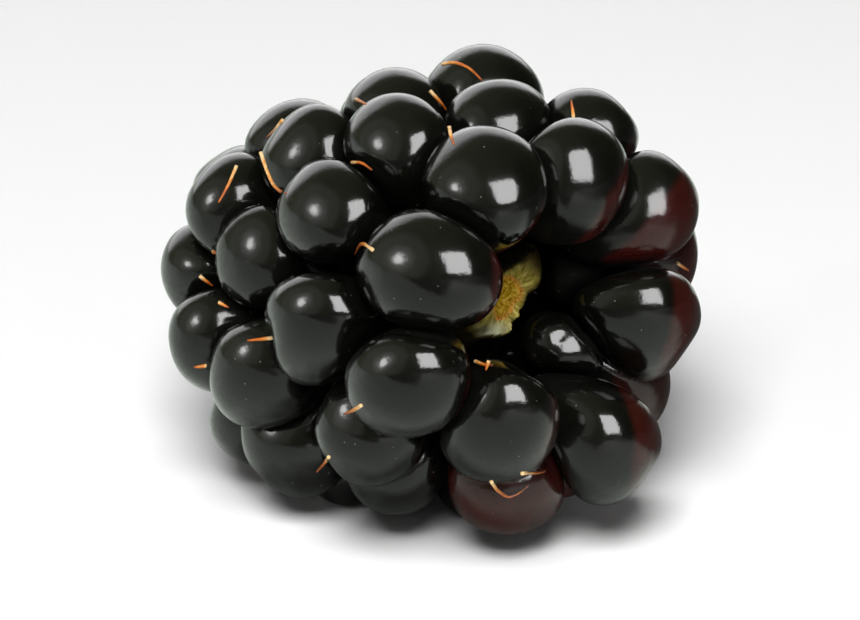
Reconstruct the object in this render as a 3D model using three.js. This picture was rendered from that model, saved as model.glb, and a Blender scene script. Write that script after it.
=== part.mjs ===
// A ripe bramble berry, lying on its side as picked.
//
// The berry is an aggregate fruit: plump drupelets, each a small fruit of its own, packed in whorls
// round a pale fleshy receptacle, whose torn end shows in the hollow at the stem. The receptacle and
// every drupelet are meshes of their own.
//
// Millimetres, +Z up, resting on z = 0. The fruit is built along its own axis, +X towards the stem,
// and is then laid down as one group.

import * as THREE from "three";
import { mergeVertices } from "three/addons/utils/BufferGeometryUtils.js";

// ---- driving dimensions ----

const SKIN_GAP = 0.15; // each drupelet stays this far from the plane it shares with a neighbour
const NEAR = 10; // drupelets whose hearts are closer than this press on each other
const PRESS = 12; // how tightly a skin follows a shared plane: higher is flatter, with a sharper edge
const TAPER = 0.3; // share of its width that a drupelet loses towards its root
const SKIN_DETAIL = 3; // subdivisions of the icosahedron under each skin

const NOSE_DOWN = 15; // degrees that the fruit's axis rises towards the stem
const REST_HEIGHT = 10.7; // from the surface that the fruit rests on to the middle of its axis

// The receptacle's outline, from its tip to the middle of its torn end: distance along the axis,
// then radius.
const RECEPTACLE = [
  [-6.4, 0], [-6.0, 1.2], [-4.5, 2.5], [-1.5, 3.3], [2.0, 3.3], [4.2, 2.7],
  [5.3, 2.2], [5.9, 1.7], [5.9, 1.2], [5.6, 0.8], [5.5, 0],
];
const RECEPTACLE_RINGS = 18;
const RECEPTACLE_SIDES = 28;
const OVAL = 0.42; // share by which the torn end is longer one way and narrower the other
const OVAL_AROUND = 44; // degrees round the axis, from the top, at which it is longest
const OVAL_FROM = 2; // distance along the axis where the oval begins, full at the torn end

// Whorls from the stem to the tip. A whorl gives what its drupelets share, and a drupelet only what
// is its own:
//   along   distance of its heart along the axis
//   lift    distance of its heart from the axis
//   around  degrees of its heart round the axis, 0 on top, growing clockwise as seen from the stem
//   lean    degrees that its crown leans to the stem
//   turn    degrees that it is turned about its crown
//   wide    width round the fruit
//   long    length along the fruit
//   crown   height from heart to crown
//   pear    how much wider it is at its stem end
//   blush   how red it still is: 0 is black all over
const WHORLS = [
  {
    name: "hollow", along: 6.2, lift: 4.5, lean: 45, wide: 4.2, long: 4.0, crown: 1.8, blush: 0.1,
    drupelets: [{ around: 137 }, { around: 92, along: 5.0, lift: 4.6, wide: 3.6 }],
  },
  {
    name: "stem", along: 7.5, lift: 5.9, lean: 48, wide: 5.4, long: 5.5, crown: 2.9, blush: 0.2,
    drupelets: [
      { around: -17, wide: 5.7, long: 5.6 },
      { around: 33, lift: 5.6, wide: 4.9, long: 6.0, pear: -0.15 },
      { around: 69, along: 7.2, lift: 7.2, lean: 34, blush: 0.4 },
      { around: 113, lift: 6.5, lean: 32, crown: 2.6, blush: 0.4 },
      { around: 160, along: 7.2, lift: 7.8, lean: 30, crown: 2.8, blush: 0.4 },
      { around: -144, along: 7.8, lift: 5.5, wide: 5.2, long: 5.6 },
      { around: -104, along: 6.9, lift: 7.1, lean: 36, wide: 5.0 },
      { around: -61, lift: 6.1, wide: 5.6, long: 6.6, crown: 3.1 },
    ],
  },
  {
    name: "shoulder", along: 3.0, lift: 8.2, lean: 10, wide: 5.2, long: 5.0, crown: 2.8, blush: 0.1,
    drupelets: [
      { around: 18, along: 4.0, lift: 7.1, long: 5.6 },
      { around: 49, along: 4.8, lift: 8.2 },
      { around: 92, along: 4.0, lift: 9.0, wide: 6.2, long: 5.4 },
      { around: 133, along: 4.0, lift: 8.5, wide: 5.6, long: 5.4, blush: 0.5 },
      { around: 158, lift: 8.3, long: 5.4 },
      { around: -174, along: 4.7, lift: 8.0, wide: 6.1, blush: 1 },
      { around: -147, along: 1.2, lift: 7.7, wide: 4.8 },
      { around: -123, lift: 7.8 },
      { around: -85, along: 2.9, lift: 8.4, wide: 4.8, long: 5.3, turn: 70, pear: 0.2 },
      { around: -49, along: 2.4, lift: 8.3, wide: 4.9, long: 4.8 },
      { around: -19, along: 2.8, lift: 7.6, wide: 5.0, long: 5.0 },
    ],
  },
  {
    name: "waist", along: 0.2, lift: 8.9, lean: 0, wide: 6.0, long: 5.6, crown: 2.7,
    drupelets: [
      { around: 3, along: -1.0, lift: 7.5, wide: 5.3, long: 5.2 },
      { around: 34, along: -0.3, lift: 9.0, wide: 5.8, long: 5.0 },
      { around: 70 },
      { around: 108 },
      { around: 143, wide: 5.6 },
      { around: 172, along: 0, lift: 8.5, wide: 5.6 },
      { around: -163, along: -1.3, lift: 7.6, wide: 4.6, long: 4.6 },
      { around: -133, along: -3.5, lift: 8.4, lean: -5, wide: 5.5, long: 4.8 },
      { around: -102, along: -1.8, lift: 8.6, lean: -5, wide: 5.1, long: 4.8 },
      { around: -65, along: -2.5, lift: 7.8, lean: -5, wide: 5.0, long: 4.0, crown: 2.2 },
      { around: -29, along: -1.8, lift: 7.7, lean: -5, wide: 5.5, long: 4.8 },
    ],
  },
  {
    name: "flank", along: -4.1, lift: 8.3, lean: -20, wide: 5.8, long: 5.2, crown: 2.6,
    drupelets: [
      { around: -16, along: -5.6, lift: 6.7, wide: 5.4, long: 4.8 },
      { around: 25, along: -4.9, lift: 6.9 },
      { around: 55 },
      { around: 90 },
      { around: 125 },
      { around: 162, along: -4.4, lift: 7.9, wide: 5.6 },
      { around: -160, along: -4.6, lift: 7.8, wide: 5.2 },
      { around: -131, along: -6.9, lift: 7.4, wide: 4.7, long: 4.8 },
      { around: -94, along: -5.6, lift: 7.9, wide: 5.1, long: 4.8 },
      { around: -49, along: -5.3, lift: 7.7, wide: 5.2, long: 4.8 },
    ],
  },
  {
    name: "nose", along: -7.8, lift: 6.1, lean: -45, wide: 5.1, long: 5.0, crown: 2.5,
    drupelets: [
      { around: -35, along: -8.3, lift: 6.2, wide: 4.5 },
      { around: 5, along: -8.6, lift: 5.6 },
      { around: 45 },
      { around: 85 },
      { around: 125 },
      { around: 165 },
      { around: -155, along: -8.2, lift: 5.8 },
      { around: -115, along: -8.6, lift: 5.4 },
      { around: -71, along: -7.7, lift: 6.6, wide: 4.5 },
    ],
  },
  {
    name: "tip", along: -10.0, lift: 2.4, lean: -75, wide: 4.6, long: 4.6, crown: 2.2,
    drupelets: [{ around: 0 }, { around: 120 }, { around: -120 }],
  },
];

const BLACK = new THREE.Color(0x0d0a0c);
const RED = new THREE.Color(0x3c2722);
const PITH = new THREE.MeshStandardMaterial({
  name: "receptacle flesh", color: 0xa99a55, roughness: 0.7, metalness: 0,
});

// ---- the receptacle ----

// The lathed outline, with its torn end drawn out into an oval, in the fruit's frame.
function receptacleGeometry() {
  const corners = RECEPTACLE.map(([along, radius]) => new THREE.Vector2(radius, along));
  const outline = new THREE.SplineCurve(corners).getSpacedPoints(RECEPTACLE_RINGS);
  outline.forEach((point) => point.setX(Math.max(point.x, 0)));
  const body = new THREE.LatheGeometry(outline, RECEPTACLE_SIDES);
  body.rotateZ(-Math.PI / 2);
  const points = body.getAttribute("position");
  const end = RECEPTACLE.at(-2)[0];
  for (let i = 0; i < points.count; i++) {
    const point = new THREE.Vector3().fromBufferAttribute(points, i);
    const share = THREE.MathUtils.clamp((point.x - OVAL_FROM) / (end - OVAL_FROM), 0, 1);
    const around = Math.atan2(point.y, point.z) - THREE.MathUtils.degToRad(OVAL_AROUND);
    const stretch = 1 + OVAL * share * Math.cos(2 * around);
    points.setXYZ(i, point.x, point.y * stretch, point.z * stretch);
  }
  body.computeVertexNormals();
  return body;
}

const receptacle = new THREE.Mesh(receptacleGeometry(), PITH);
receptacle.name = "receptacle";

// ---- the drupelets ----

// Where a drupelet's heart is, and its own frame: x along the fruit to the stem, y round it, z out
// through the crown.
function placed(spec) {
  const d = { turn: 0, pear: 0, blush: 0, ...spec };
  const around = THREE.MathUtils.degToRad(d.around);
  const lean = THREE.MathUtils.degToRad(d.lean);
  const axis = new THREE.Vector3(1, 0, 0);
  const radial = new THREE.Vector3(0, Math.sin(around), Math.cos(around));
  const out = radial.clone().multiplyScalar(Math.cos(lean)).addScaledVector(axis, Math.sin(lean));
  const forward = axis.clone().multiplyScalar(Math.cos(lean)).addScaledVector(radial, -Math.sin(lean));
  forward.applyAxisAngle(out, THREE.MathUtils.degToRad(d.turn));
  const side = out.clone().cross(forward);
  d.heart = radial.multiplyScalar(d.lift).setX(d.along);
  d.frame = new THREE.Matrix4().makeBasis(forward, side, out).setPosition(d.heart);
  d.toOwn = d.frame.clone().invert();
  d.inward = toReceptacle(d.heart);
  d.root = d.inward.length();
  return d;
}

// The point of a drupelet's free skin, before its neighbours press on it, in a direction of its own
// frame.
function freeSkin(d, direction) {
  const height = direction.z > 0 ? d.crown : d.root;
  const slim = direction.z > 0 ? 1 : 1 + TAPER * direction.z;
  const stemward = 1 + d.pear * direction.x;
  return new THREE.Vector3(
    (direction.x * d.long * slim) / 2,
    (direction.y * d.wide * slim * stemward) / 2,
    direction.z * height,
  );
}

// How far the free skin reaches from the heart in a direction of the fruit's frame, and the skin's
// normal there.
function reach(d, direction) {
  const own = direction.clone().transformDirection(d.toOwn);
  const height = own.z > 0 ? d.crown : d.root;
  const scaled = new THREE.Vector3(own.x / (d.long / 2), own.y / (d.wide / 2), own.z / height);
  const normal = new THREE.Vector3(
    scaled.x / (d.long / 2), scaled.y / (d.wide / 2), scaled.z / height,
  ).transformDirection(d.frame);
  return { far: 1 / scaled.length(), normal };
}

// The plane where two neighbours meet, as seen from the first: its normal and its distance from the
// first's heart.
function contact(a, b) {
  const between = b.heart.clone().sub(a.heart);
  const apart = between.length();
  const towards = between.divideScalar(apart);
  const mine = reach(a, towards);
  const theirs = reach(b, towards.clone().negate());
  const normal = mine.normal.sub(theirs.normal).normalize();
  const meet = mine.far + (apart - mine.far - theirs.far) / 2;
  return { normal, distance: meet * towards.dot(normal) - SKIN_GAP };
}

// The way from a drupelet's heart to the nearest point of the receptacle.
function toReceptacle(heart) {
  const points = receptacle.geometry.getAttribute("position");
  const nearest = new THREE.Vector3(Infinity, 0, 0);
  for (let i = 0; i < points.count; i++) {
    const way = new THREE.Vector3().fromBufferAttribute(points, i).sub(heart);
    if (way.length() < nearest.length()) nearest.copy(way);
  }
  return nearest;
}

// The plane that touches the receptacle there.
function rootPlane(d) {
  return { normal: d.inward.clone().normalize(), distance: d.inward.length() - 2 * SKIN_GAP };
}

// The plane of the surface that the berry rests on, in the fruit's frame.
const tilt = THREE.MathUtils.degToRad(NOSE_DOWN);
const DOWN = new THREE.Vector3(-Math.sin(tilt), 0, -Math.cos(tilt));
function floorPlane(d) {
  return { normal: DOWN, distance: REST_HEIGHT - d.heart.dot(DOWN) };
}

// One drupelet's geometry in its own frame: the free skin, drawn in where a neighbour or the
// receptacle presses, and flattened where it rests.
function drupeletGeometry(d, planes) {
  const ball = new THREE.IcosahedronGeometry(1, SKIN_DETAIL);
  ball.deleteAttribute("normal");
  ball.deleteAttribute("uv");
  const body = mergeVertices(ball);
  const points = body.getAttribute("position");
  const floor = floorPlane(d);
  for (let i = 0; i < points.count; i++) {
    const point = freeSkin(d, new THREE.Vector3().fromBufferAttribute(points, i));
    const free = point.length();
    const direction = point.clone().divideScalar(free).transformDirection(d.frame);
    let sum = 1;
    for (const plane of planes) {
      const facing = direction.dot(plane.normal);
      if (facing > 0) sum += ((free * facing) / plane.distance) ** PRESS;
    }
    const pressed = free * sum ** (-1 / PRESS);
    const sinking = pressed * direction.dot(floor.normal);
    const far = sinking > floor.distance ? (pressed * floor.distance) / sinking : pressed;
    point.multiplyScalar(far / free);
    points.setXYZ(i, point.x, point.y, point.z);
  }
  body.computeVertexNormals();
  return body;
}

function skin(d) {
  const color = BLACK.clone().lerp(RED, d.blush);
  return new THREE.MeshStandardMaterial({ name: `${d.name} skin`, color, roughness: 0.12, metalness: 0 });
}

function makeDrupelets() {
  const all = WHORLS.flatMap(({ name, drupelets, ...shared }) =>
    drupelets.map((own, i) => placed({ name: `${name}_drupelet_${i + 1}`, ...shared, ...own })),
  );
  return all.map((d) => {
    const neighbours = all.filter((other) => other !== d && other.heart.distanceTo(d.heart) < NEAR);
    const planes = [...neighbours.map((other) => contact(d, other)), rootPlane(d)];
    const mesh = new THREE.Mesh(drupeletGeometry(d, planes), skin(d));
    mesh.name = d.name;
    mesh.position.copy(d.heart);
    mesh.quaternion.setFromRotationMatrix(d.frame);
    return mesh;
  });
}

// ---- the berry, laid down with the origin under its middle ----

const fruit = new THREE.Group();
fruit.add(receptacle, ...makeDrupelets());
fruit.rotation.y = -tilt;
fruit.position.z = REST_HEIGHT;

const berry = new THREE.Group();
berry.add(fruit);
berry.updateMatrixWorld(true);
const middle = new THREE.Box3().setFromObject(fruit, true).getCenter(new THREE.Vector3());
fruit.position.setX(-middle.x).setY(-middle.y);

export default berry;
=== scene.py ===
"""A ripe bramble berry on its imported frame: drupelet skins, torn receptacle, dried styles and a studio."""

import math

import bpy
import numpy as np
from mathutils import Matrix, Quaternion, Vector, noise
from mathutils.bvhtree import BVHTree


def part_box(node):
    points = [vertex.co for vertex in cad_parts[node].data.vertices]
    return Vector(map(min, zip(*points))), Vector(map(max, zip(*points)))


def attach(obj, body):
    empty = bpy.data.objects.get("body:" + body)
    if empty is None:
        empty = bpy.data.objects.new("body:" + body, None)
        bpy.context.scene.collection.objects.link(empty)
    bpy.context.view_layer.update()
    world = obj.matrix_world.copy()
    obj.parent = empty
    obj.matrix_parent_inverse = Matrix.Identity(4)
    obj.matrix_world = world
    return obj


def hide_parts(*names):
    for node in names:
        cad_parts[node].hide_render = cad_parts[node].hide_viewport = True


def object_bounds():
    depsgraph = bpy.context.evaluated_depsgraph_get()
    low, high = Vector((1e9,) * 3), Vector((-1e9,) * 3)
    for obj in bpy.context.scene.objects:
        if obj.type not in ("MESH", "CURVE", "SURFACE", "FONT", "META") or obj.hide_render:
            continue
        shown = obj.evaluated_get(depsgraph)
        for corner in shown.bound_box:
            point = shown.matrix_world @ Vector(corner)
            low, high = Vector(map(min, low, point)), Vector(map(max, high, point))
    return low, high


bl_info = {
    "name": "Bramble Berry",
    "version": (1, 0, 0),
    "blender": (4, 5, 0),
    "location": "View3D > Sidebar > Berry",
    "description": "Finishes a ripe bramble berry on its packed frame and lights it in a small studio",
    "category": "Object",
}

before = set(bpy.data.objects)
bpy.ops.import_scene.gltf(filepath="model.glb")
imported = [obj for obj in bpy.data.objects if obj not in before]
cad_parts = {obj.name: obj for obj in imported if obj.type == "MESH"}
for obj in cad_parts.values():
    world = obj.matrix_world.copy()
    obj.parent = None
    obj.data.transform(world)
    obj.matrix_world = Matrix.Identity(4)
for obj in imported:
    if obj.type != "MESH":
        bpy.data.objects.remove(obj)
CAD_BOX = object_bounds()
MIDDLE = (CAD_BOX[0] + CAD_BOX[1]) / 2

MM = 0.001

# How finely the balls are made that the skins and the receptacle start from, and how long they are smoothed.
SKIN_SPLITS = 5
SKIN_SMOOTHING = 24
CORE_SPLITS = 6
CORE_SMOOTHING = 10

# How far down the receptacle's torn end is divided further.
FINE_END = 1.5 * MM

# The fruit's own directions: its axis rises 15 degrees towards the stem.
AXIS_RISE = math.radians(15)
STEMWARD = Vector((math.cos(AXIS_RISE), 0, math.sin(AXIS_RISE)))
FRUIT_TOP = Vector((-math.sin(AXIS_RISE), 0, math.cos(AXIS_RISE)))
FRUIT_SIDE = Vector((0, 1, 0))

# The camera's place: degrees round the berry and above the horizon.
CAMERA_AROUND = math.radians(51)
CAMERA_ABOVE = math.radians(25)
CAMERA_RIGHT = Vector((math.cos(CAMERA_AROUND), math.sin(CAMERA_AROUND), 0))
CAMERA_BACK = Vector(
    (
        math.sin(CAMERA_AROUND) * math.cos(CAMERA_ABOVE),
        -math.cos(CAMERA_AROUND) * math.cos(CAMERA_ABOVE),
        math.sin(CAMERA_ABOVE),
    )
)
CAMERA_UP = CAMERA_BACK.cross(CAMERA_RIGHT)
CAMERA_AHEAD = Vector((-CAMERA_BACK.x, -CAMERA_BACK.y, 0)).normalized()
CAMERA_DISTANCE = 200.5 * MM
CAMERA_LENS = 184.2
AIM_BELOW_MIDDLE = 1.0 * MM

# The side where the skins aren't fully ripe, and how softly the red ends there, on the scale of BLUSH's
# reach.
BLUSH_SIDE = CAMERA_RIGHT * 0.95 - CAMERA_BACK * 0.3
BLUSH_FADE = 0.13

# How red a drupelet still is on that side, how far round the red reaches (1 is none of the skin, 0 is
# half of it and -1 is all), and how far down its side it lies. The others are black all over.
BLUSH = {
    "stem_drupelet_1": (1.0, 0.62, 0.6),
    "stem_drupelet_2": (1.0, 0.42, 0.6),
    "stem_drupelet_3": (1.0, 0.0, 0.8),
    "stem_drupelet_4": (1.0, 0.16, 0.0),
    "stem_drupelet_5": (1.0, 0.2, -0.1),
    "stem_drupelet_6": (0.8, 0.55, 0.0),
    "stem_drupelet_7": (1.0, 0.6, 0.0),
    "stem_drupelet_8": (1.0, 0.5, 0.1),
    "shoulder_drupelet_2": (0.9, 0.5, 0.5),
    "shoulder_drupelet_3": (1.0, -0.1, 0.0),
    "shoulder_drupelet_4": (0.7, -0.2, 0.0),
    "shoulder_drupelet_5": (1.0, -0.2, 0.0),
    "shoulder_drupelet_6": (1.0, -1.5, 0.0),
}

# How a crown is turned, as the slope that its face gains: how far its right and its upper side, as the
# camera sees them, come forward for each millimetre that they lie from its middle.
TILTS = {
    "hollow_drupelet_1": (-0.5, 0.15),
    "stem_drupelet_1": (0.05, -0.15),
    "stem_drupelet_2": (-0.3, 0.2),
    "stem_drupelet_4": (-0.15, 0.4),
    "stem_drupelet_5": (-0.1, 0.12),
    "stem_drupelet_6": (-0.1, 0.5),
    "stem_drupelet_7": (0.0, 0.5),
    "stem_drupelet_8": (0.12, 0.05),
    "shoulder_drupelet_1": (-0.15, 0.0),
    "shoulder_drupelet_4": (0.0, 0.4),
    "shoulder_drupelet_6": (0.0, 0.15),
    "shoulder_drupelet_7": (0.0, 0.3),
    "shoulder_drupelet_8": (0.05, 0.3),
    "shoulder_drupelet_9": (0.25, 0.48),
    "shoulder_drupelet_10": (0.35, -0.15),
    "shoulder_drupelet_11": (0.2, -0.05),
    "waist_drupelet_4": (0.0, 0.3),
    "waist_drupelet_8": (0.1, 0.2),
    "waist_drupelet_9": (0.15, 0.4),
    "waist_drupelet_10": (0.35, 0.1),
    "waist_drupelet_11": (0.2, 0.15),
    "flank_drupelet_9": (0.0, 0.2),
}

# Where a neighbour, a style or the sun has pushed a skin in or let it swell, so that no drupelet is
# a plain ball: the drupelet, the direction from its middle in degrees off the fruit's axis and round
# it, how far the skin moves there in millimetres, and how far round that the move reaches.
PUSHES = [
    ("hollow_drupelet_1", 50, -50, -0.06, 0.3),
    ("hollow_drupelet_2", 125, -80, -0.5, 1.2),
    ("stem_drupelet_2", 125, -40, 0.3, 1.3),
    ("stem_drupelet_2", 55, 140, -0.15, 1.2),
    ("stem_drupelet_3", 70, 55, -0.15, 1.2),
    ("stem_drupelet_4", 55, 145, -0.4, 1.3),
    ("stem_drupelet_5", 60, 150, -0.35, 1.3),
    ("stem_drupelet_4", 45, -25, 0.15, 1.4),
    ("stem_drupelet_5", 35, -40, 0.42, 1.6),
    ("stem_drupelet_6", 75, 40, -0.25, 1.4),
    ("stem_drupelet_7", 85, -165, -0.25, 1.8),
    ("stem_drupelet_7", 125, -60, 0.3, 1.4),
    ("stem_drupelet_8", 120, -30, -0.2, 1.5),
    ("stem_drupelet_8", 110, -55, -0.2, 0.5),
    ("shoulder_drupelet_1", 95, 15, -0.12, 1.5),
    ("shoulder_drupelet_2", 70, 55, -0.2, 1.2),
    ("shoulder_drupelet_6", 55, 90, 0.3, 1.2),
    ("shoulder_drupelet_8", 115, -120, -0.3, 1.0),
    ("shoulder_drupelet_8", 90, -30, -0.15, 0.5),
    ("shoulder_drupelet_8", 70, -65, -0.2, 1.2),
    ("shoulder_drupelet_9", 120, -110, -0.7, 1.1),
    ("shoulder_drupelet_9", 105, -95, -0.25, 0.5),
    ("shoulder_drupelet_9", 100, -85, -0.3, 0.9),
    ("shoulder_drupelet_10", 95, 15, -0.2, 1.2),
    ("shoulder_drupelet_10", 110, -35, -0.25, 1.2),
    ("shoulder_drupelet_10", 75, -175, -0.3, 1.5),
    ("waist_drupelet_2", 125, -55, 0.35, 1.4),
    ("waist_drupelet_8", 125, -55, 0.35, 1.3),
    ("waist_drupelet_8", 115, -125, -0.25, 1.2),
    ("waist_drupelet_8", 15, 150, -0.15, 0.5),
    ("waist_drupelet_9", 125, -40, 0.25, 1.4),
    ("waist_drupelet_9", 85, -165, -0.2, 1.6),
    ("waist_drupelet_9", 70, -25, -0.15, 0.6),
    ("waist_drupelet_11", 105, -30, -0.2, 1.5),
    ("flank_drupelet_1", 125, -80, 0.3, 1.2),
    ("flank_drupelet_9", 125, -100, -0.2, 1.4),
    ("flank_drupelet_10", 120, -30, -0.2, 1.3),
    ("flank_drupelet_10", 90, -155, 0.3, 1.3),
    ("nose_drupelet_1", 115, -20, -0.45, 1.8),
    ("nose_drupelet_9", 105, -135, 0.4, 1.5),
]

# How far apart a skin's lumps lie, from how near a neighbour starts to shut a skin in, and how near it
# does so wholly.
LUMPS_APART = 2.2 * MM
OPEN_FROM = 1.6 * MM
SHUT_FROM = 0.4 * MM

# The hollow that the stem tore open, in millimetres: how far its mouth lies from the fruit's middle, its
# half width there, and how much that grows for each millimetre further in.
HOLLOW_MOUTH = 9
HOLLOW_WIDTH = 3.9
HOLLOW_FLARE = 0.5

# Drupelets beside the hollow that no juice has dried on.
STILL_GLOSSY = ("hollow_drupelet_1", "stem_drupelet_4")

# The torn end, seen along the fruit's axis from the stem: millimetres to the side and up from its
# middle. First the ragged edge of the pale face, then the ring of veins round the pith.
TORN_EDGE = [
    (-2.4, -0.9), (-2.1, -1.25), (-1.45, -1.35), (-0.6, -1.6), (-0.2, -1.5), (-0.05, -1.15),
    (0.35, -0.9), (0.6, -0.6), (1.1, -0.15), (1.75, 0.1), (2.3, 0.55), (2.6, 0.95), (2.85, 1.5),
    (2.2, 1.75), (0.9, 1.35), (-0.1, 1.1), (-1.2, 1.0), (-2.1, 0.4),
]
VEIN_RING = [
    (-0.75, -0.8), (-0.3, -0.85), (0.0, -0.65), (0.2, -0.4), (0.6, -0.25), (0.8, 0.05),
    (0.7, 0.45), (0.3, 0.85), (-0.1, 0.9), (-0.5, 0.5), (-0.75, 0.0), (-0.9, -0.45),
]

# The dried styles, from foot to tip: degrees off the fruit's axis, degrees round it, and millimetres
# from the fruit's middle.
STYLES = [
    [(110.5, -43, 10.6), (109, -49, 10.6), (109.5, -54, 10.7)],
    [(102, -39, 10.4), (102.5, -41.5, 10), (100, -44.5, 9.5), (97.5, -46.5, 9.1), (78.5, -51, 11)],
    [(100, -29.5, 10.6), (102.5, -31.5, 10.4), (117, -28.5, 10.1)],
    [(93.5, -11.5, 9.5), (75.5, -21, 10.7)],
    [(73.5, -34, 9.2), (68, -34.5, 9.7), (65, -35, 9.5)],
    [(91.5, 17, 10.2), (87, 17.5, 10.4), (80.5, 19.5, 10.1), (78.5, 20.5, 9.8)],
    [(80.5, 4.5, 9.3), (79, 7, 8.8), (79.5, 10.5, 8.3)],
    [(51, -18.5, 11.8), (50, -19, 11.4), (47, -22.5, 11.9)],
    [(43, 20, 12.1), (45.5, 18.5, 12.6)],
    [(117, -66.5, 10.1), (109, -67, 10.3)],
    [(122.5, -74, 10.5), (123, -75.5, 10.2), (124, -77, 9.9)],
    [(50.5, -61, 12.3), (52, -60, 12), (56.5, -58.5, 10.5), (59.5, -61.5, 9.4)],
    [(111.5, -80.5, 9.9), (110, -82, 9.5)],
    [(86, -88, 9.4), (88.5, -88, 9.8), (91, -88, 10.2)],
    [(112, -97, 10.9), (114, -97, 11.4)],
    [(54.5, -101.5, 12.3), (57.5, -103.5, 11.8), (65, -108.5, 10.3)],
    [(73, -118, 11), (95.5, -133.5, 9.5), (96.5, -133.5, 9.9)],
    [(28.5, -110, 9.3), (27, -109, 10.3), (25.5, -109.5, 10.6)],
    [(26, -105, 10.8), (27.5, -109, 10.8)],
    [(50.5, 94, 11.3), (53, 97, 11.8)],
    [(44.5, -146.5, 11.8), (51, -158, 11), (51.5, -162.5, 11.4), (49.5, -164.5, 11.4), (47.5, -166.5, 11.1)],
    [(38.5, -151, 12.2), (38.5, -154, 12), (42.5, -164.5, 11.2), (45, -172.5, 10.8)],
]

# Drupelets on the other sides whose style lies on the crown: the way it heads, in degrees clockwise
# from the stem, and its length in millimetres.
CROWN_STYLES = {
    "shoulder_drupelet_3": (150, 1.6),
    "waist_drupelet_3": (110, 2.2),
    "waist_drupelet_4": (35, 1.3),
    "waist_drupelet_5": (-140, 1.8),
    "flank_drupelet_2": (-60, 1.7),
    "flank_drupelet_3": (170, 1.3),
    "flank_drupelet_4": (60, 2.4),
    "flank_drupelet_5": (-100, 1.5),
    "nose_drupelet_2": (130, 1.6),
    "nose_drupelet_4": (-30, 1.9),
    "nose_drupelet_5": (100, 1.1),
    "nose_drupelet_7": (-120, 1.6),
    "tip_drupelet_1": (70, 1.4),
    "tip_drupelet_2": (-150, 1.8),
}

# How many steps a style is divided in, to find how far along it each of its points lies.
STYLE_STEPS = 40

# Further from a drupelet's middle than its skin reaches.
WELL_OUTSIDE = 6 * MM


# ---- small helpers ----


def fruit_direction(from_stem, around):
    """A direction by its degrees off the fruit's axis and round it: 0 is on top, clockwise from the stem."""
    off, turn = math.radians(from_stem), math.radians(around)
    outward = FRUIT_TOP * math.cos(turn) + FRUIT_SIDE * math.sin(turn)
    return STEMWARD * math.cos(off) + outward * math.sin(off)


def drupelet_nodes():
    return sorted(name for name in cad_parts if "drupelet" in name)


def deselect_all():
    for thing in bpy.context.selected_objects:
        thing.select_set(False)


def only(thing):
    deselect_all()
    thing.select_set(True)
    bpy.context.view_layer.objects.active = thing


def settle(thing):
    """Puts an object's place and turn into its mesh, so that the object itself sits at the origin."""
    only(thing)
    bpy.ops.object.transform_apply(location=True, rotation=True, scale=True)


def modify(thing, kind, **settings):
    """Adds one modifier with its settings and applies it."""
    only(thing)
    modifier = thing.modifiers.new(kind.lower(), kind)
    for key, value in settings.items():
        setattr(modifier, key, value)
    bpy.ops.object.modifier_apply(modifier=modifier.name)


def vertices_of(thing):
    points = np.zeros(len(thing.data.vertices) * 3)
    thing.data.vertices.foreach_get("co", points)
    return points.reshape(-1, 3)


def set_vertices(thing, points):
    thing.data.vertices.foreach_set("co", points.ravel())
    thing.data.update()


def paint(thing, name, values):
    """Stores one number for each vertex, for a material to read."""
    layer = thing.data.attributes.new(name, "FLOAT", "POINT")
    layer.data.foreach_set("value", np.asarray(values, np.float32))


def ramp(values, low, high):
    share = np.clip((values - low) / (high - low), 0, 1)
    return share * share * (3 - 2 * share)


def beyond(places, outline):
    """How far each place in a plane lies outside a closed outline; less than 0 is inside."""
    corners = np.array(outline)
    nearest = np.full(len(places), np.inf)
    inside = np.zeros(len(places), bool)
    for start, end in zip(corners, np.roll(corners, -1, axis=0)):
        along = end - start
        share = np.clip((places - start) @ along / (along @ along), 0, 1)
        nearest = np.minimum(nearest, np.linalg.norm(places - start - share[:, None] * along, axis=1))
        crosses = (start[1] > places[:, 1]) != (end[1] > places[:, 1])
        reach = start[0] + along[0] * (places[:, 1] - start[1]) / (along[1] or 1e-9)
        inside ^= crosses & (places[:, 0] < reach)
    return np.where(inside, -nearest, nearest)


def grain(points, size):
    """Smooth noise from -1 to 1 at each point, with lumps of about the given size."""
    return np.array([noise.noise(Vector(point) / size) for point in points])


def linear(hex_colour):
    """An sRGB hex colour as linear red, green, blue and alpha."""
    channels = [int(hex_colour[i : i + 2], 16) / 255 for i in (1, 3, 5)]
    return [c / 12.92 if c < 0.04045 else ((c + 0.055) / 1.055) ** 2.4 for c in channels] + [1]


def add_node(tree, kind, settings=None, links=None):
    """Adds one node; settings are properties or socket values, links are outputs that feed its sockets."""
    node = tree.nodes.new(kind)
    for key, value in (settings or {}).items():
        if isinstance(key, str) and hasattr(node, key):
            setattr(node, key, value)
        else:
            node.inputs[key].default_value = value
    for key, output in (links or {}).items():
        tree.links.new(output, node.inputs[key])
    return node


def new_material(name):
    material = bpy.data.materials.new(name)
    material.use_nodes = True
    material.node_tree.nodes.clear()
    return material, material.node_tree


def colour_steps(tree, factor, steps):
    """A colour ramp through (position, hex colour) steps."""
    node = add_node(tree, "ShaderNodeValToRGB", links={"Fac": factor})
    elements = node.color_ramp.elements
    while len(elements) < len(steps):
        elements.new(1)
    for element, (position, hex_colour) in zip(elements, steps):
        element.position = position
        element.color = linear(hex_colour)
    return node.outputs["Color"]


def mixed(tree, share, colour, other):
    """One colour mixed towards another; each is a fixed colour or the output of a node."""
    node = add_node(tree, "ShaderNodeMix", {"data_type": "RGBA"}, {0: share})
    for socket, value in ((6, colour), (7, other)):
        if isinstance(value, list):
            node.inputs[socket].default_value = value
        else:
            tree.links.new(value, node.inputs[socket])
    return node.outputs[2]


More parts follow.
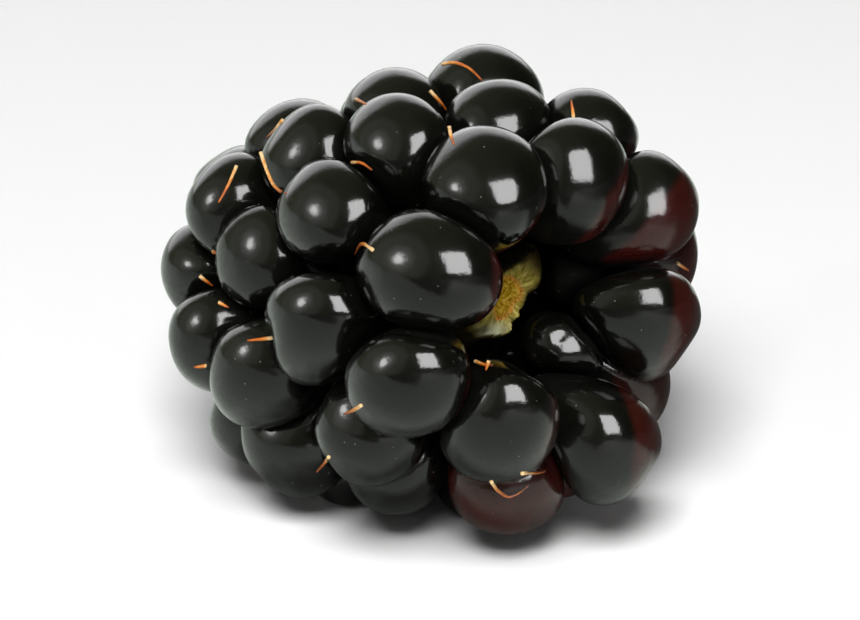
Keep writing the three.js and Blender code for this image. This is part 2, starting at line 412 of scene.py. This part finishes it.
def ranged(tree, value, low, high, to_low, to_high, **settings):
    """A number mapped from one range to another and held inside it."""
    limits = {"From Min": low, "From Max": high, "To Min": to_low, "To Max": to_high}
    return add_node(tree, "ShaderNodeMapRange", {**limits, **settings}, {"Value": value}).outputs[0]


def painted(tree, name):
    """The numbers that paint stored under a name."""
    return add_node(tree, "ShaderNodeAttribute", {"attribute_name": name}).outputs["Fac"]


def clouds(tree, place, lumps, detail, roughness=0.6):
    """Soft noise with a number of lumps a millimetre."""
    settings = {"Scale": lumps / MM, "Detail": detail, "Roughness": roughness}
    return add_node(tree, "ShaderNodeTexNoise", settings, {"Vector": place}).outputs["Fac"]


def times(tree, share, other, clamp=False):
    """The product of two numbers, held between 0 and 1 if asked."""
    settings = {"operation": "MULTIPLY", "use_clamp": clamp}
    return add_node(tree, "ShaderNodeMath", settings, {0: share, 1: other}).outputs[0]


# ---- materials ----


def drupelet_skin(name, coat, roughness, bloom=0.11):
    """Bramble skin: a taut film over near-black juice, red where unripe, rough under a coat of wax that a
    bloom dulls, and without its wax in the clefts."""
    material, tree = new_material(name)
    place = add_node(tree, "ShaderNodeTexCoord").outputs["Object"]
    look = bpy.context.scene.berry_skin

    cloud = clouds(tree, place, 0.6, 3)
    black = colour_steps(tree, cloud, [(0.35, "#050604"), (0.7, "#0b0b08")])
    uneven = ranged(tree, cloud, 0.3, 0.7, 0.75, 1.1)
    unripe = times(tree, painted(tree, "blush"), uneven, clamp=True)
    juice = mixed(tree, unripe, black, list(look.blush_colour))

    grit = add_node(tree, "ShaderNodeTexVoronoi", {"Scale": 1.5 / MM}, {"Vector": place})
    speck = ranged(tree, grit.outputs["Distance"], 0.055, 0.02, 0, 0.4)
    coloured = mixed(tree, speck, juice, linear("#b9b7a8"))

    cleft = painted(tree, "cleft")
    wax = ranged(tree, cleft, 0, 0.8, coat, 0.08 * coat)
    polish = ranged(tree, clouds(tree, place, 0.9, 4, 0.7), 0.35, 0.7, roughness, roughness + 0.1)
    dulled = add_node(
        tree,
        "ShaderNodeMath",
        {"operation": "MULTIPLY_ADD", "use_clamp": True, 1: 0.7},
        {0: cleft, 2: polish},
    )
    relief = add_node(
        tree,
        "ShaderNodeBump",
        {"Strength": 0.5, "Distance": (0.008 + 0.2 * bloom) * MM},
        {"Height": clouds(tree, place, 1.6, 5)},
    )
    shader = add_node(
        tree,
        "ShaderNodeBsdfPrincipled",
        {"IOR": 1.5, "Specular IOR Level": 0.04, "Coat Roughness": bloom, "Coat IOR": 1.5},
        {
            "Base Color": coloured,
            "Roughness": dulled.outputs[0],
            "Coat Weight": wax,
            "Normal": relief.outputs[0],
            "Coat Normal": relief.outputs[0],
        },
    )
    add_node(tree, "ShaderNodeOutputMaterial", links={"Surface": shader.outputs[0]})
    return material


def receptacle_flesh():
    """Torn receptacle flesh: damp plant fibre, pale green where it tore, olive pith in a ring of veins. Its
    sides are painted near black as shade, its face carries painted shade on the far side and a near-white
    painted highlight on the damp lower end.
    """
    material, tree = new_material("torn receptacle flesh")
    place = add_node(tree, "ShaderNodeTexCoord").outputs["Object"]
    blotch = clouds(tree, place, 1 / 0.6, 4)
    fine = clouds(tree, place, 1 / 0.16, 3)
    fan = painted(tree, "fan")

    strands = ranged(tree, painted(tree, "strands"), -0.45, 0.45, 0, 1)
    torn = colour_steps(tree, strands, [(0.0, "#5a4f1c"), (0.45, "#8a7d33"), (1.0, "#beb162")])
    torn = mixed(tree, ranged(tree, blotch, 0.5, 0.75, 0, 0.7), torn, linear("#867c22"))
    torn = mixed(tree, painted(tree, "shade"), torn, linear("#2e250f"))
    # Painted highlight: the damp lower end of the face, near white where light catches it, with more gloss.
    torn = mixed(tree, fan, torn, linear("#eef2cf"))
    pith = colour_steps(tree, fine, [(0.35, "#6b4f02"), (0.5, "#9a7a10"), (0.68, "#c2a445")])
    torn = mixed(tree, painted(tree, "pith"), torn, pith)
    vein = colour_steps(tree, fine, [(0.35, "#743002"), (0.6, "#e08a30")])
    torn = mixed(tree, painted(tree, "beads"), torn, vein)
    # The sides: painted shade, near black, lifting to dark olive just below the torn edge.
    shaded_sides = colour_steps(tree, blotch, [(0.3, "#060703"), (0.7, "#0f0f07")])
    shaded_sides = mixed(tree, painted(tree, "skirt"), shaded_sides, linear("#46401b"))
    flesh = mixed(tree, painted(tree, "face"), shaded_sides, torn)

    relief = add_node(
        tree, "ShaderNodeBump", {"Strength": 0.6, "Distance": 0.03 * MM}, {"Height": fine}
    )
    shader = add_node(
        tree,
        "ShaderNodeBsdfPrincipled",
        {"Roughness": 0.8, "IOR": 1.4, "Specular IOR Level": 0.02, "Coat Roughness": 0.4, "Coat IOR": 1.4},
        {
            "Base Color": flesh,
            "Normal": relief.outputs[0],
            "Coat Weight": ranged(tree, fan, 0, 1, 0.02, 0.5),
        },
    )
    add_node(tree, "ShaderNodeOutputMaterial", links={"Surface": shader.outputs[0]})
    return material


def dried_style():
    """Dried style: a withered plant thread, pale at its foot and brown at its tip, with a faint gloss."""
    material, tree = new_material("dried style")
    place = add_node(tree, "ShaderNodeTexCoord").outputs["Object"]
    shift = ranged(tree, clouds(tree, place, 3, 2), 0.3, 0.7, -0.25, 0.25)
    share = add_node(tree, "ShaderNodeMath", {"use_clamp": True}, {0: painted(tree, "along"), 1: shift})
    colour = colour_steps(
        tree,
        share.outputs[0],
        [(0.0, "#e9c48c"), (0.3, "#d08a3c"), (0.65, "#bf6420"), (1.0, "#8a4416")],
    )
    shader = add_node(
        tree, "ShaderNodeBsdfPrincipled", {"Roughness": 0.45, "IOR": 1.45}, {"Base Color": colour}
    )
    add_node(tree, "ShaderNodeOutputMaterial", links={"Surface": shader.outputs[0]})
    return material


def studio_floor():
    """Matt white card: soft and even."""
    material, tree = new_material("matt white card")
    shader = add_node(
        tree, "ShaderNodeBsdfPrincipled", {"Roughness": 0.8, "Base Color": linear("#ffffff")}
    )
    add_node(tree, "ShaderNodeOutputMaterial", links={"Surface": shader.outputs[0]})
    return material


def mirrored_table():
    """Matt table paper as the skins mirror it, its light painted on: white, greyer towards the camera, dark
    in painted shadows.
    """
    material, tree = new_material("matt table paper")
    colour = mixed(tree, painted(tree, "light"), linear("#000000"), linear("#f6fff4"))
    shader = add_node(
        tree, "ShaderNodeBsdfPrincipled", {"Roughness": 0.8}, {"Base Color": colour}
    )
    add_node(tree, "ShaderNodeOutputMaterial", links={"Surface": shader.outputs[0]})
    return material


# ---- settings ----


class BerrySkin(bpy.types.PropertyGroup):
    inflate: bpy.props.FloatProperty(
        name="Swell",
        description="How far the skins swell past the packed solids, to close the gaps between them",
        default=0.11 * MM,
        unit="LENGTH",
    )
    unevenness: bpy.props.FloatProperty(
        name="Unevenness",
        description="How far the skins rise and fall over a couple of millimetres",
        default=0.05 * MM,
        unit="LENGTH",
    )
    style_thickness: bpy.props.FloatProperty(
        name="Style thickness",
        description="How thick a dried style is at its foot",
        default=0.18 * MM,
        unit="LENGTH",
    )
    blush_colour: bpy.props.FloatVectorProperty(
        name="Blush",
        description="Colour of the skin where it isn't fully ripe",
        subtype="COLOR",
        size=4,
        min=0,
        max=1,
        default=linear("#310c08"),
    )


# ---- drupelets ----


def ball_over(node, name, splits, smoothing):
    """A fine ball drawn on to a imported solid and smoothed."""
    low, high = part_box(node)
    deselect_all()
    bpy.ops.mesh.primitive_ico_sphere_add(
        subdivisions=splits, radius=(high - low).length, location=(low + high) / 2
    )
    ball = bpy.context.object
    ball.name = name
    modify(
        ball,
        "SHRINKWRAP",
        target=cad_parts[node],
        wrap_method="PROJECT",
        use_negative_direction=True,
        use_positive_direction=False,
    )
    modify(ball, "SMOOTH", factor=0.5, iterations=smoothing)
    return ball


def skin_over(node, settings):
    """One drupelet's skin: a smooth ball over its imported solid, swollen, shaped and flat on the table."""
    skin = ball_over(node, node + "_skin", SKIN_SPLITS, SKIN_SMOOTHING)
    modify(skin, "DISPLACE", strength=settings.inflate, mid_level=0)
    settle(skin)
    points = vertices_of(skin)
    shape_skin(points, node, settings)
    points[:, 2] = np.maximum(points[:, 2], 0)
    set_vertices(skin, points)
    return skin


def shape_skin(points, node, settings):
    """Turns a skin as TILTS says, moves it where PUSHES says, and makes it a little uneven all over."""
    heart = points.mean(axis=0)
    outward = points - heart
    outward /= np.linalg.norm(outward, axis=1)[:, None]
    spread = outward * grain(points, LUMPS_APART)[:, None] * settings.unevenness
    rightwards, upwards = TILTS.get(node, (0, 0))
    slope = CAMERA_RIGHT * rightwards + CAMERA_UP * upwards
    spread += ((points - heart) @ np.array(slope))[:, None] * np.array(CAMERA_BACK)
    for name, from_stem, around, push, reach in PUSHES:
        if name == node:
            way = np.array(fruit_direction(from_stem, around))
            pole = points[np.argmax(outward @ way)]
            apart = np.linalg.norm(points - pole, axis=1) / (reach * MM)
            spread += way * (push * MM * np.exp(-apart * apart))[:, None]
    points += spread


def clefts_of(skins):
    """How shut in each skin's points are, from 0 in the open to 1 where a neighbour lies against them."""
    corners, faces = [], []
    for skin in skins:
        first = len(corners)
        corners += [tuple(point) for point in vertices_of(skin)]
        faces += [[first + corner for corner in face.vertices] for face in skin.data.polygons]
    tree = BVHTree.FromPolygons(corners, faces, all_triangles=True)
    clefts = []
    for skin in skins:
        gaps = []
        for vertex in skin.data.vertices:
            start = vertex.co + vertex.normal * 0.02 * MM
            distance = tree.ray_cast(start, vertex.normal, OPEN_FROM)[3]
            gaps.append(OPEN_FROM if distance is None else distance)
        clefts.append(1 - ramp(np.array(gaps), SHUT_FROM, OPEN_FROM))
    return clefts


def hollow_side(points):
    """1 where a skin lies in the hollow that the stem tore open, dull with dried juice, and 0 elsewhere."""
    offsets = points - np.array(MIDDLE)
    along = offsets @ np.array(STEMWARD) / MM
    from_axis = np.linalg.norm(offsets / MM - along[:, None] * np.array(STEMWARD), axis=1)
    width = HOLLOW_WIDTH + HOLLOW_FLARE * (HOLLOW_MOUTH - along)
    return ramp(width - from_axis, -0.4, 0.4) * ramp(along, -1, 1)


def blush_of(points, node):
    """How red a skin is at each of its points, with an uneven border."""
    heart = points.mean(axis=0)
    facing = (points - heart) / np.linalg.norm(points - heart, axis=1)[:, None]
    redness, edge, drop = BLUSH.get(node, (0, 0, 0))
    side = (BLUSH_SIDE - CAMERA_UP * drop).normalized()
    border = facing @ np.array(side) + 0.05 * grain(points, 0.9 * MM)
    return redness * ramp(border, edge, edge + BLUSH_FADE)


class BERRY_OT_drupelets(bpy.types.Operator):
    """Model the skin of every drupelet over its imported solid"""

    bl_idname = "berry.drupelets"
    bl_label = "Drupelets"

    def execute(self, context):
        settings = context.scene.berry_skin
        ripe = drupelet_skin("ripe bramble skin", 1, 0.24)
        bloomed = drupelet_skin("bloomed bramble skin", 1, 0.24, 0.16)
        withered = drupelet_skin("withered bramble skin", 0.05, 0.5)
        odd_skins = {"stem_drupelet_3": bloomed, "hollow_drupelet_2": withered}
        skins = []
        for node in drupelet_nodes():
            skin = skin_over(node, settings)
            paint(skin, "blush", blush_of(vertices_of(skin), node))
            only(skin)
            bpy.ops.object.shade_smooth()
            skin.data.materials.append(odd_skins.get(node, ripe))
            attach(skin, "root")
            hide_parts(node)
            skins.append(skin)
        for skin, cleft in zip(skins, clefts_of(skins)):
            if skin.name.removesuffix("_skin") not in STILL_GLOSSY:
                cleft = np.maximum(cleft, hollow_side(vertices_of(skin)))
            paint(skin, "cleft", cleft)
        return {"FINISHED"}


# ---- styles ----


def style_thread(name, path, material, settings):
    """One dried style: a thin thread, thickest at its foot, through the points of its path."""
    strides = np.linalg.norm(np.diff(path, axis=0), axis=1)
    walked = np.concatenate([[0], np.cumsum(strides)])
    deselect_all()
    bpy.ops.curve.primitive_nurbs_path_add()
    thread = bpy.context.object
    thread.name = name
    spline = thread.data.splines[0]
    count = len(spline.points)
    shares = np.linspace(0, 1, count)
    places = np.stack([np.interp(shares * walked[-1], walked, column) for column in path.T], axis=1)
    for point, place, share in zip(spline.points, places, shares):
        point.co = (*place, 1)
        point.radius = 1 - 0.5 * share * share
    spline.order_u = 3
    thread.data.bevel_depth = settings.style_thickness / 2
    thread.data.bevel_resolution = 1
    thread.data.use_fill_caps = True
    bpy.ops.object.convert(target="MESH")
    bpy.ops.object.mode_set(mode="EDIT")
    bpy.ops.mesh.select_all(action="SELECT")
    bpy.ops.mesh.remove_doubles(threshold=0.001 * MM)
    bpy.ops.mesh.normals_make_consistent(inside=False)
    bpy.ops.object.mode_set(mode="OBJECT")
    bpy.ops.object.shade_smooth()
    steps = np.linspace(0, count - 1, STYLE_STEPS + 1)
    line = np.stack([np.interp(steps, range(count), column) for column in places.T], axis=1)
    apart = np.linalg.norm(vertices_of(thread)[:, None] - line[None], axis=2)
    paint(thread, "along", apart.argmin(axis=1) / STYLE_STEPS)
    thread.data.materials.append(material)
    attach(thread, "root")
    thread.visible_glossy = False


def crown_path(node, heading, length):
    """Where a style lies on a drupelet's crown: places on its skin, a little bent and raised at the tip."""
    skin = bpy.data.objects[node + "_skin"]
    points = vertices_of(skin)
    heart = Vector(points.mean(axis=0))
    offset = heart - MIDDLE
    outward = (offset - STEMWARD * offset.dot(STEMWARD) * 0.5).normalized()
    stemward = (STEMWARD - outward * STEMWARD.dot(outward)).normalized()
    turn = math.radians(heading)
    way = stemward * math.cos(turn) + stemward.cross(outward) * math.sin(turn)
    bend = way.cross(outward) * 0.25
    places = []
    for share in (0, 0.25, 0.5, 0.75, 1):
        reach = way * (share * length) + bend * (share * share * length)
        start = heart + outward * WELL_OUTSIDE + reach * MM
        place, normal = skin.ray_cast(start, -outward)[1:3]
        places.append(place + normal * (0.06 + 0.25 * share * share) * MM)
    return np.array(places)


class BERRY_OT_styles(bpy.types.Operator):
    """Lay the dried styles over the drupelets"""

    bl_idname = "berry.styles"
    bl_label = "Styles"

    def execute(self, context):
        settings = context.scene.berry_skin
        material = dried_style()
        paths = [
            np.array([MIDDLE + fruit_direction(off, around) * far * MM for off, around, far in places])
            for places in STYLES
        ]
        paths += [crown_path(node, *lie) for node, lie in CROWN_STYLES.items()]
        for number, path in enumerate(paths, 1):
            style_thread(f"style_{number:02}", path, material, settings)
        return {"FINISHED"}


# ---- receptacle ----


def tear_end(core):
    """Sinks the flesh outside the torn edge, raises the vein ring and the fibres, and paints each part, with
    painted shade on the sides and far side and a painted highlight on the damp end.
    """
    points = vertices_of(core)
    along = points @ np.array(STEMWARD)
    top = along.max()
    offsets = points - points[along > top - 0.5 * MM].mean(axis=0)
    places = np.stack([offsets @ np.array(way) for way in (FRUIT_SIDE, FRUIT_TOP)], axis=1) / MM
    end = ramp(along, top - 2.6 * MM, top - 1.2 * MM)

    rough = grain(points, 0.35 * MM)
    edge = beyond(places, TORN_EDGE) + 0.12 * rough + 0.08 * grain(points, 0.12 * MM)
    ring = beyond(places, VEIN_RING) + 0.07 * rough
    face = ramp(-edge, -0.05, 0.1)
    pith = ramp(-ring, 0, 0.12)
    beads = np.exp(-((ring / 0.09) ** 2)) * (0.6 + 0.5 * grain(points, 0.13 * MM))

    # Fibres fan out from the ring, so their noise changes fast round it and slowly away from it.
    turned = np.arctan2(places[:, 1], places[:, 0])
    spokes = np.stack([np.cos(turned), np.sin(turned), 0.1 * ring], axis=1)
    strands = 0.65 * grain(spokes, 0.035) + 0.35 * grain(spokes, 0.1)

    lip = np.exp(-(((edge + 0.15) / 0.12) ** 2)) * ramp(-places[:, 1], 0.6, 1.1)
    rise = 0.07 * beads - 0.1 * pith * (1 + 0.6 * grain(points, 0.2 * MM))
    rise += 0.025 * strands * face * (1 - pith)
    fall = 2.4 * ramp(edge, 0, 0.5) - 0.18 * lip
    points += np.array(STEMWARD) * ((rise - fall) * end * MM)[:, None]
    set_vertices(core, points)

    # Painted highlight on the damp lower end of the face, which is also glossier there.
    damp_lit_end = np.exp(-(((places[:, 0] + 1.3) / 0.7) ** 2) - ((places[:, 1] + 1.25) / 0.27) ** 2)
    # Painted shade, dark brown, over the face's far side and along its right edge, where the flesh is also
    # browner.
    far_side = ramp(places[:, 0] + 0.6 * places[:, 1] + 0.5 * strands, 1.3, 2.5)
    shaded_brown_rim = np.exp(-((edge / 0.2) ** 2)) * ramp(places[:, 0], 0.3, 1.0)
    paint(core, "face", face * end)
    paint(core, "beads", beads * end)
    paint(core, "pith", pith * end)
    paint(core, "strands", strands)
    paint(core, "fan", damp_lit_end * face * (0.75 + 0.5 * strands))
    # Painted shade on the sides, lighter just below the torn edge.
    paint(core, "skirt", np.exp(-np.maximum(edge, 0) / 0.3) * (1 - face) * end)
    paint(core, "shade", np.maximum(far_side, shaded_brown_rim))


class BERRY_OT_receptacle(bpy.types.Operator):
    """Model the pale receptacle with its torn end"""

    bl_idname = "berry.receptacle"
    bl_label = "Receptacle"

    def execute(self, context):
        core = ball_over("receptacle", "receptacle_flesh", CORE_SPLITS, CORE_SMOOTHING)
        settle(core)
        along = vertices_of(core) @ np.array(STEMWARD)
        core.data.vertices.foreach_set("select", along > along.max() - FINE_END)
        bpy.ops.object.mode_set(mode="EDIT")
        bpy.ops.mesh.select_mode(type="VERT")
        bpy.ops.mesh.subdivide(number_cuts=2)
        bpy.ops.object.mode_set(mode="OBJECT")
        tear_end(core)
        only(core)
        bpy.ops.object.shade_smooth()
        core.data.materials.append(receptacle_flesh())
        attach(core, "root")
        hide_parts("receptacle")
        return {"FINISHED"}


# ---- stage ----


def light_panel(name, direction, distance, size, radiance, shape="RECTANGLE", roll=0):
    """A soft light at a distance from the berry, facing it; size is its width and height in metres."""
    toward = direction.normalized()
    deselect_all()
    bpy.ops.object.light_add(type="AREA", location=MIDDLE + toward * distance)
    panel = bpy.context.object
    panel.name = name
    panel.data.shape = shape
    panel.data.size, panel.data.size_y = size
    area = size[0] * size[1] * (math.pi / 4 if shape == "ELLIPSE" else 1)
    panel.data.energy = radiance * math.pi * area
    panel.rotation_mode = "QUATERNION"
    upright = toward.to_track_quat("Z", "Y")
    panel.rotation_quaternion = upright @ Quaternion((0, 0, 1), math.radians(roll))
    panel.visible_camera = False
    return panel


def hot_centre(panel, around, centre):
    """Makes a round light bright in the middle and dim around it, with the dark flash head beside it."""
    panel.data.use_nodes = True
    tree = panel.data.node_tree
    tree.nodes.clear()
    across = add_node(tree, "ShaderNodeNewGeometry").outputs["Parametric"]

    def apart_from(place):
        settings = {"operation": "DISTANCE", 1: (*place, 0)}
        return add_node(tree, "ShaderNodeVectorMath", settings, {0: across}).outputs["Value"]

    middle = apart_from((0.5, 0.5))
    glow = ranged(tree, middle, 0.02, 0.1, centre, around, interpolation_type="SMOOTHERSTEP")
    dim = ranged(tree, middle, 0.07, 0.22, 1, 0.25, interpolation_type="SMOOTHSTEP")
    fade = ranged(tree, middle, 0.3, 0.5, 1, 0, interpolation_type="SMOOTHSTEP")
    head = ranged(tree, apart_from((0.535, 0.54)), 0.012, 0.03, 0.1, 1)
    shine = times(tree, times(tree, times(tree, glow, dim), fade), head)
    light = add_node(tree, "ShaderNodeEmission", {"Color": linear("#ffffff")}, {"Strength": shine})
    add_node(tree, "ShaderNodeOutputLight", links={"Surface": light.outputs[0]})


def build_world():
    """What the wet skins mirror: a white backdrop behind, and a dim olive room, darkest at the right."""
    world = bpy.data.worlds.new("studio")
    bpy.context.scene.world = world
    world.use_nodes = True
    tree = world.node_tree
    tree.nodes.clear()
    direction = add_node(tree, "ShaderNodeTexCoord").outputs["Generated"]

    def towards(aim, low, high):
        facing = add_node(
            tree, "ShaderNodeVectorMath", {"operation": "DOT_PRODUCT", 1: aim.normalized()}, {0: direction}
        )
        return ranged(tree, facing.outputs["Value"], low, high, 0, 1, interpolation_type="SMOOTHSTEP")

    left_and_up = Vector((0, 0, 0.5)) - CAMERA_RIGHT
    room = mixed(tree, towards(left_and_up, -0.7, 0.8), linear("#24231b"), linear("#5f6350"))
    ahead = CAMERA_AHEAD - CAMERA_RIGHT * 0.21 + Vector((0, 0, 0.15))
    backdrop = mixed(tree, towards(ahead, 0.72, 0.84), room, linear("#ffffff"))
    room = mixed(tree, towards(Vector((0, 0, 1)), 0.5, 0.8), backdrop, room)
    rays = add_node(tree, "ShaderNodeLightPath")
    glossy = add_node(tree, "ShaderNodeBackground", {"Strength": 1.9}, {"Color": room})
    soft = add_node(tree, "ShaderNodeBackground", {"Color": linear("#ffffff"), "Strength": 0.07})
    white = add_node(tree, "ShaderNodeBackground", {"Color": linear("#ffffff"), "Strength": 1})
    lit = add_node(
        tree,
        "ShaderNodeMixShader",
        links={0: rays.outputs["Is Glossy Ray"], 1: soft.outputs[0], 2: glossy.outputs[0]},
    )
    seen = add_node(
        tree,
        "ShaderNodeMixShader",
        links={0: rays.outputs["Is Camera Ray"], 1: lit.outputs[0], 2: white.outputs[0]},
    )
    add_node(tree, "ShaderNodeOutputWorld", links={"Surface": seen.outputs[0]})


def add_floor(name, size, squares, drop, material):
    """A square of floor under the berry, in a number of squares each way, turned to face the camera."""
    deselect_all()
    bpy.ops.mesh.primitive_grid_add(
        x_subdivisions=squares, y_subdivisions=squares, size=size, location=(0, 0, -drop)
    )
    floor = bpy.context.object
    floor.name = name
    floor.rotation_euler.z = CAMERA_AROUND
    settle(floor)
    floor.data.materials.append(material)
    return floor


def wedge(places, tip, way, spread):
    """1 in a wedge on the floor, 0 outside it; from its tip it opens by spread to each side a unit."""
    way = np.array(way) / np.linalg.norm(way)
    apart = places - np.array(tip)
    across = np.abs(apart @ np.array([-way[1], way[0]]))
    return ramp((apart @ way) * spread - across, -2, 2)


def shade_table(table):
    """Paints how light the table is: greyer towards the camera, painted shadows of the berry, long from the
    umbrella and under the berry, a painted dark wedge for the camera, and dark beyond the table's ends.
    """
    points = vertices_of(table) / MM
    rightwards, ahead = points @ np.array(CAMERA_RIGHT), points @ np.array(CAMERA_AHEAD)
    places = np.stack([rightwards, ahead], axis=1)
    long_shadow = wedge(places, (0, 5), (1, 0.2), 0.65)
    # A painted dark wedge that the skins mirror in the camera's place.
    dark_camera = wedge(places, (3, -38), (-0.28, -1), 0.7)
    # Painted shadow of the berry on the table round its foot.
    shadow_under_berry = ramp(-np.linalg.norm(places, axis=1), -13, -9)
    light = np.interp(ahead, [-60, -40, -20, 0], [0.42, 0.41, 0.52, 0.85])
    light *= 1 - 0.95 * long_shadow
    light *= 1 - 0.97 * dark_camera
    light *= ramp(-rightwards, -70, -35) * ramp(ahead, -260, -150)
    light *= 1 - 0.85 * shadow_under_berry
    paint(table, "light", light)


class BERRY_OT_stage(bpy.types.Operator):
    """Set the berry on a pale card, with a soft box, an umbrella and the camera"""

    bl_idname = "berry.stage"
    bl_label = "Stage"

    def execute(self, context):
        build_world()
        floor = add_floor("floor", 2.4, 1, 0.05 * MM, studio_floor())
        floor.visible_glossy = False
        table = add_floor("mirrored_table", 0.9, 300, 0, mirrored_table())
        shade_table(table)
        table.visible_camera = False
        table.visible_shadow = False
        table.visible_diffuse = False

        key = CAMERA_RIGHT * 0.48 + CAMERA_UP * 0.17 + CAMERA_BACK * 0.82
        softbox = light_panel("key_softbox", key, 0.5, (0.36, 0.41), 11, roll=-8)
        softbox.visible_diffuse = False
        fill = CAMERA_RIGHT * -0.75 + CAMERA_UP * 0.18 + CAMERA_BACK * 0.5
        umbrella = light_panel("umbrella", fill, 0.45, (1.1, 1.1), 1, "ELLIPSE")
        hot_centre(umbrella, 0.95, 12)
        umbrella.visible_diffuse = False
        above = Vector((0, 0, 1.2)) - CAMERA_AHEAD - CAMERA_RIGHT * 0.1
        ceiling = light_panel("ceiling_softbox", above, 0.55, (0.22, 0.22), 27)
        ceiling.visible_glossy = False

        aim = MIDDLE - CAMERA_UP * AIM_BELOW_MIDDLE
        deselect_all()
        bpy.ops.object.camera_add(location=aim + CAMERA_BACK * CAMERA_DISTANCE)
        camera = bpy.context.object
        camera.name = "camera"
        camera.rotation_mode = "QUATERNION"
        camera.rotation_quaternion = CAMERA_BACK.to_track_quat("Z", "Y")
        camera.data.lens = CAMERA_LENS
        camera.data.clip_start = 0.01
        context.scene.camera = camera
        context.scene.view_settings.view_transform = "Standard"
        return {"FINISHED"}


# ---- add-on ----

OPERATORS = (BERRY_OT_stage, BERRY_OT_drupelets, BERRY_OT_receptacle, BERRY_OT_styles)


class BERRY_PT_panel(bpy.types.Panel):
    """Lists the berry's pieces and its stage"""

    bl_label = "Bramble Berry"
    bl_idname = "BERRY_PT_panel"
    bl_space_type = "VIEW_3D"
    bl_region_type = "UI"
    bl_category = "Berry"

    def draw(self, context):
        for operator in OPERATORS:
            self.layout.operator(operator.bl_idname)
        for name in ("inflate", "unevenness", "style_thickness", "blush_colour"):
            self.layout.prop(context.scene.berry_skin, name)


def register():
    for thing in (BerrySkin, *OPERATORS, BERRY_PT_panel):
        bpy.utils.register_class(thing)
    bpy.types.Scene.berry_skin = bpy.props.PointerProperty(type=BerrySkin)


def unregister():
    del bpy.types.Scene.berry_skin
    for thing in (BERRY_PT_panel, *reversed(OPERATORS), BerrySkin):
        bpy.utils.unregister_class(thing)


def main():
    register()
    bpy.ops.berry.stage()
    bpy.ops.berry.drupelets()
    bpy.ops.berry.receptacle()
    bpy.ops.berry.styles()


if __name__ == "__main__":
    main()
